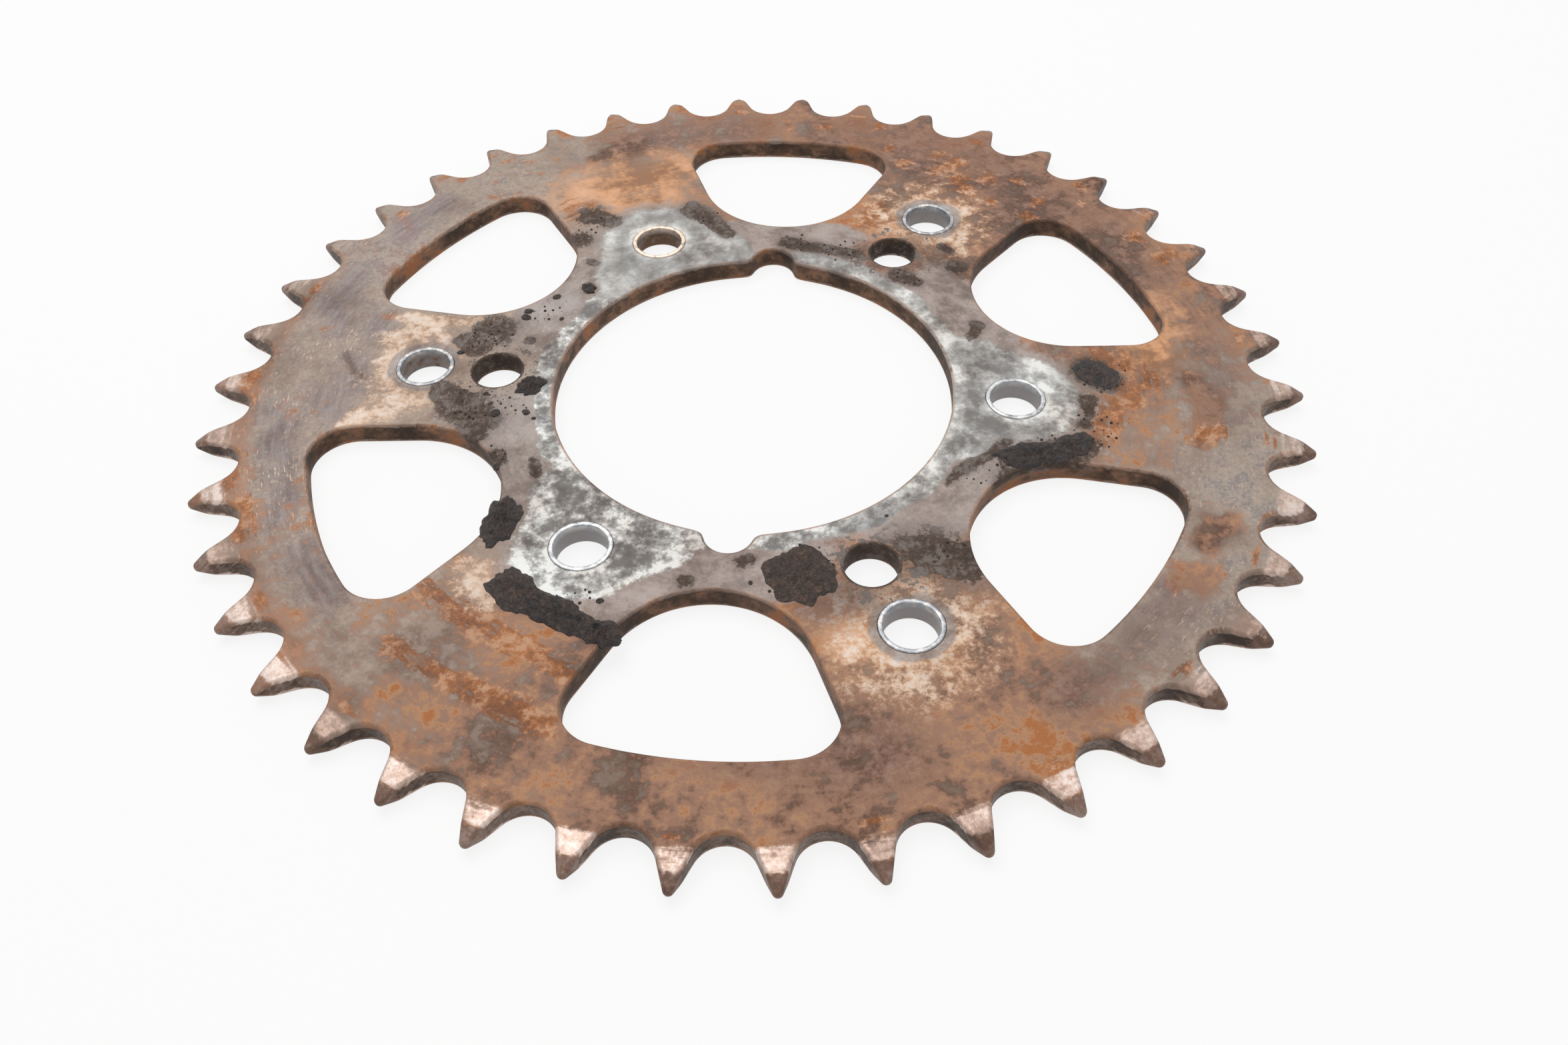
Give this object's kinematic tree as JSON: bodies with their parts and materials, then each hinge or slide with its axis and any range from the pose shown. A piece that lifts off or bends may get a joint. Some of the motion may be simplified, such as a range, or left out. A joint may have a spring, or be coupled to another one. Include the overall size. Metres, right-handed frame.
{
  "type": "rear sprocket",
  "caption": "Flat toothed steel wheel that a roller chain drives, with a large centre bore, lightening windows and bolt holes lined with pressed-in collars.",
  "frame": {"origin": "on the axle line, in the plane of the back face", "axes": "+Z along the axle, out of the face that sits on the wheel carrier; +X through a tooth"},
  "size_m": [0.221, 0.2204, 0.0048],
  "materials": {
    "rusted_plate": "bare steel plate, browned and speckled with rust, bright where the chain rubs",
    "zinc_collar": "dull zinc plating"
  },
  "bodies": {
    "root": {"sprocket_plate": "rusted_plate", "outer_collar_1": "zinc_collar", "lug_collar_1": "zinc_collar", "outer_collar_2": "zinc_collar", "lug_collar_2": "zinc_collar", "outer_collar_3": "zinc_collar", "lug_collar_3": "zinc_collar"}
  },
  "joints": []
}
